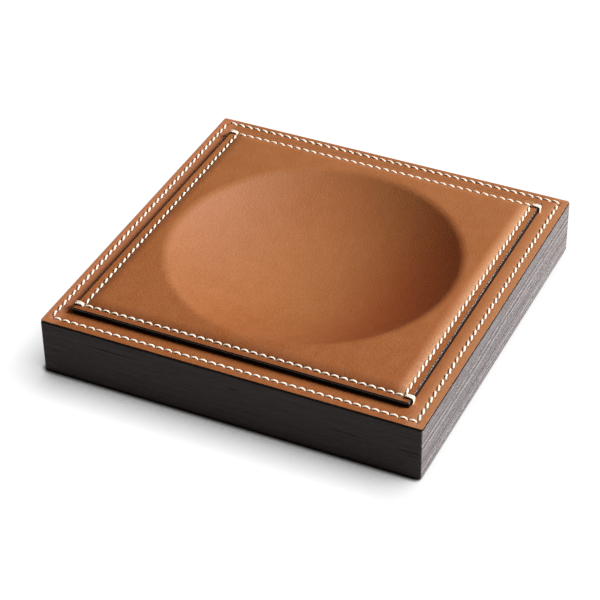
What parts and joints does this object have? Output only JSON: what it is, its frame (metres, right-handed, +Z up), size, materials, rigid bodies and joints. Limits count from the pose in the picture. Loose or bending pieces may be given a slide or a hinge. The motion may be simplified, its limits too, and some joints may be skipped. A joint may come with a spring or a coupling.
{
  "type": "valet tray",
  "caption": "Square valet tray: black wood base with a stitched tan leather top, and a raised leather plate moulded down into a round dish.",
  "frame": {"origin": "centre of the underside, on the surface that the tray stands on", "axes": "+Z up out of the dish, -Y towards the front, +X towards the right-hand side as seen from the front"},
  "size_m": [0.21, 0.21, 0.0369],
  "materials": {
    "black_wood": "satin black stain over open grain",
    "plain_wood": "raw",
    "dark_suede": "suede nap",
    "border_tan": "smooth, black painted edges",
    "plate_tan": "smooth, moulded, black painted edges",
    "backing_leather": "black painted edges",
    "felt": "wool felt",
    "cream_thread": "waxed linen thread"
  },
  "bodies": {
    "root": {"front_rail": "black_wood", "right_rail": "black_wood", "back_rail": "black_wood", "left_rail": "black_wood", "corner_splines": "plain_wood", "base_board": "plain_wood", "base_lining": "dark_suede", "dish_core": "plain_wood", "border_leather": "border_tan", "plate_backing": "backing_leather", "panel_padding": "felt", "plate_leather": "plate_tan", "border_front_stitches": "cream_thread", "border_right_stitches": "cream_thread", "border_back_stitches": "cream_thread", "border_left_stitches": "cream_thread", "plate_front_stitches": "cream_thread", "plate_right_stitches": "cream_thread", "plate_back_stitches": "cream_thread", "plate_left_stitches": "cream_thread", "corner_wraps": "cream_thread"}
  },
  "joints": []
}
